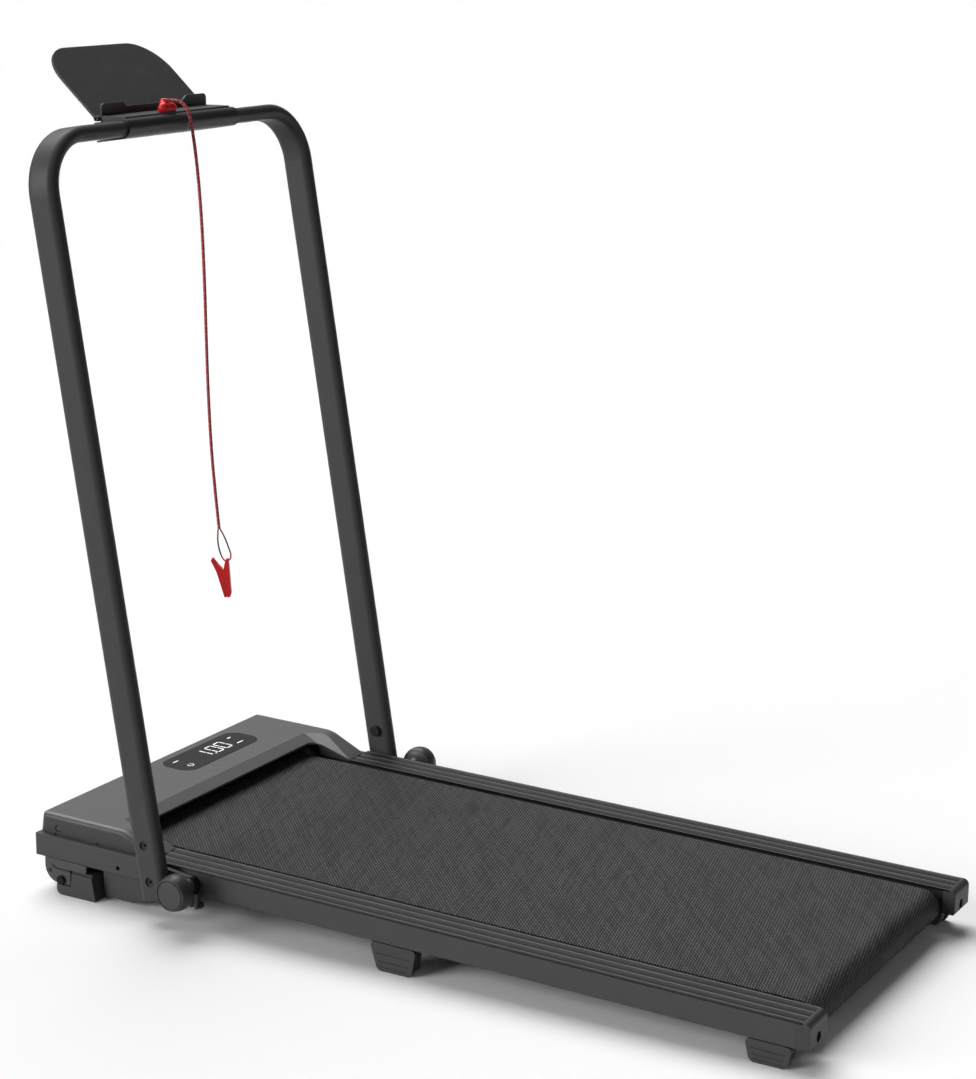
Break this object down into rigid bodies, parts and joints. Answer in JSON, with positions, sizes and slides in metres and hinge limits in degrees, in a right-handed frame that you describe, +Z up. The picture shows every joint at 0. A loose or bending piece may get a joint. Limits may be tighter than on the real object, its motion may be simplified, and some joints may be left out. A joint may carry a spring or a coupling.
{
  "type": "walking pad",
  "caption": "Slim motorised walking pad with a looped belt between fluted side rails, a low motor cover and a folding handrail with tablet holder and safety key.",
  "frame": {"origin": "on the floor under the middle of the overall box", "axes": "+X to the rear end of the deck, +Y to the walker's right, +Z up"},
  "size_m": [1.1558, 0.5996, 1.0756],
  "materials": {
    "frame_paint": "satin powder coat",
    "handrail_paint": "satin powder coat",
    "tread_plastic": "fluted, satin",
    "cap_plastic": "fine grain",
    "cover_plastic": "fine grain",
    "panel_gloss": "smooth",
    "belt_weave": "diagonal weave",
    "board_wood": "waxed",
    "foot_rubber": "matt",
    "drive_rubber": "ribbed",
    "steel": "zinc plated",
    "roller_steel": "turned",
    "bolt_black": "black oxide",
    "pulley_alloy": "turned",
    "motor_case": "satin",
    "board_green": "circuit board",
    "inlet_plastic": "satin",
    "knob_plastic": "satin",
    "wheel_plastic": "satin",
    "holder_plastic": "fine grain",
    "key_red": "smooth",
    "cord_red": "braided"
  },
  "bodies": {
    "deck": {"side_tube_left": "frame_paint", "side_tube_right": "frame_paint", "tread_left": "tread_plastic", "tread_right": "tread_plastic", "rear_cap_left": "cap_plastic", "rear_cap_right": "cap_plastic", "front_bracket_left": "frame_paint", "front_bracket_right": "frame_paint", "front_foot_left": "foot_rubber", "front_foot_right": "foot_rubber", "mid_foot_left": "foot_rubber", "mid_foot_right": "foot_rubber", "rear_foot_left": "foot_rubber", "rear_foot_right": "foot_rubber", "cross_tubes": "frame_paint", "running_board": "board_wood", "board_cushions": "foot_rubber", "walking_belt": "belt_weave", "front_axle": "steel", "rear_axle": "steel", "adjuster_bolts": "steel", "motor": "motor_case", "motor_saddle": "steel", "drive_belt": "drive_rubber", "control_board": "board_green", "motor_cover": "cover_plastic", "display_panel": "panel_gloss", "cover_screws": "bolt_black", "belly_pan": "frame_paint", "power_inlet": "inlet_plastic", "wheel_axles": "steel", "pivot_bushes": "steel", "fold_stops": "frame_paint"},
    "front_roller": {"front_roller": "roller_steel", "front_bearings": "steel", "roller_pulley": "pulley_alloy"},
    "rear_roller": {"rear_roller": "roller_steel", "rear_bearings": "steel"},
    "motor_rotor": {"motor_shaft": "steel", "motor_pulley": "pulley_alloy"},
    "wheel_left": {"transport_wheel_left": "wheel_plastic"},
    "wheel_right": {"transport_wheel_right": "wheel_plastic"},
    "handrail": {"handrail": "handrail_paint", "rail_bolts": "bolt_black", "swing_bracket_left": "handrail_paint", "swing_bracket_right": "handrail_paint", "holder_shroud_left": "holder_plastic", "holder_shroud_right": "holder_plastic", "holder_clamp": "holder_plastic", "hinge_pin": "steel", "holder_ledge": "holder_plastic"},
    "tablet_rest": {"tablet_plate": "holder_plastic"},
    "safety_key": {"safety_key": "key_red", "lanyard_cord": "cord_red", "lanyard_loop": "cord_red", "clip_holder": "key_red"},
    "clip": {"clip_jaw": "key_red"},
    "knob_left": {"clamp_knob_left": "knob_plastic"},
    "knob_right": {"clamp_knob_right": "knob_plastic"},
    "switch": {"power_switch": "inlet_plastic"}
  },
  "joints": [
    {"name": "handrail_fold", "type": "hinge", "parent": "deck", "child": "handrail", "pos_m": [-0.26317, 0, 0.05738], "axis": [0, 1, 0], "range_deg": [0, 99.8]},
    {"name": "knob_left_turn", "type": "hinge", "parent": "deck", "child": "knob_left", "pos_m": [-0.26317, -0.2785, 0.05738], "axis": [0, 1, 0], "range_deg": [0, 720]},
    {"name": "knob_right_turn", "type": "hinge", "parent": "deck", "child": "knob_right", "pos_m": [-0.26317, 0.2785, 0.05738], "axis": [0, -1, 0], "range_deg": [0, 720]},
    {"name": "front_roller_spin", "type": "hinge", "parent": "deck", "child": "front_roller", "pos_m": [-0.41426, 0, 0.05356], "axis": [0, 1, 0], "continuous": true},
    {"name": "rear_roller_spin", "type": "hinge", "parent": "deck", "child": "rear_roller", "pos_m": [0.5376, 0, 0.03728], "axis": [0, 1, 0], "continuous": true},
    {"name": "motor_spin", "type": "hinge", "parent": "deck", "child": "motor_rotor", "pos_m": [-0.47533, 0, 0.05001], "axis": [0, 1, 0], "continuous": true},
    {"name": "wheel_left_spin", "type": "hinge", "parent": "deck", "child": "wheel_left", "pos_m": [-0.47684, -0.2385, 0.02003], "axis": [0, 1, 0], "continuous": true},
    {"name": "wheel_right_spin", "type": "hinge", "parent": "deck", "child": "wheel_right", "pos_m": [-0.47684, 0.2385, 0.02003], "axis": [0, 1, 0], "continuous": true},
    {"name": "tablet_tilt", "type": "hinge", "parent": "handrail", "child": "tablet_rest", "pos_m": [-0.48567, 0, 0.99235], "axis": [0, 1, 0], "range_deg": [-45, 35]},
    {"name": "key_lift", "type": "slide", "parent": "handrail", "child": "safety_key", "axis": [0, 0, 1], "range_m": [0, 0.04]},
    {"name": "clip_open", "type": "hinge", "parent": "safety_key", "child": "clip", "pos_m": [-0.42113, 0.04062, 0.37654], "axis": [-0.5075, 0.8616, 0], "range_deg": [0, 22], "stiffness_Nm_per_rad": 0.06, "springref_deg": -34.38},
    {"name": "switch_rock", "type": "hinge", "parent": "deck", "child": "switch", "pos_m": [-0.50949, -0.105, 0.04059], "axis": [0, 1, 0], "range_deg": [0, 14]}
  ],
  "couplings": [
    {"joint": "rear_roller_spin", "follows": "front_roller_spin", "ratio": 1},
    {"joint": "motor_spin", "follows": "front_roller_spin", "ratio": 2.4167}
  ]
}
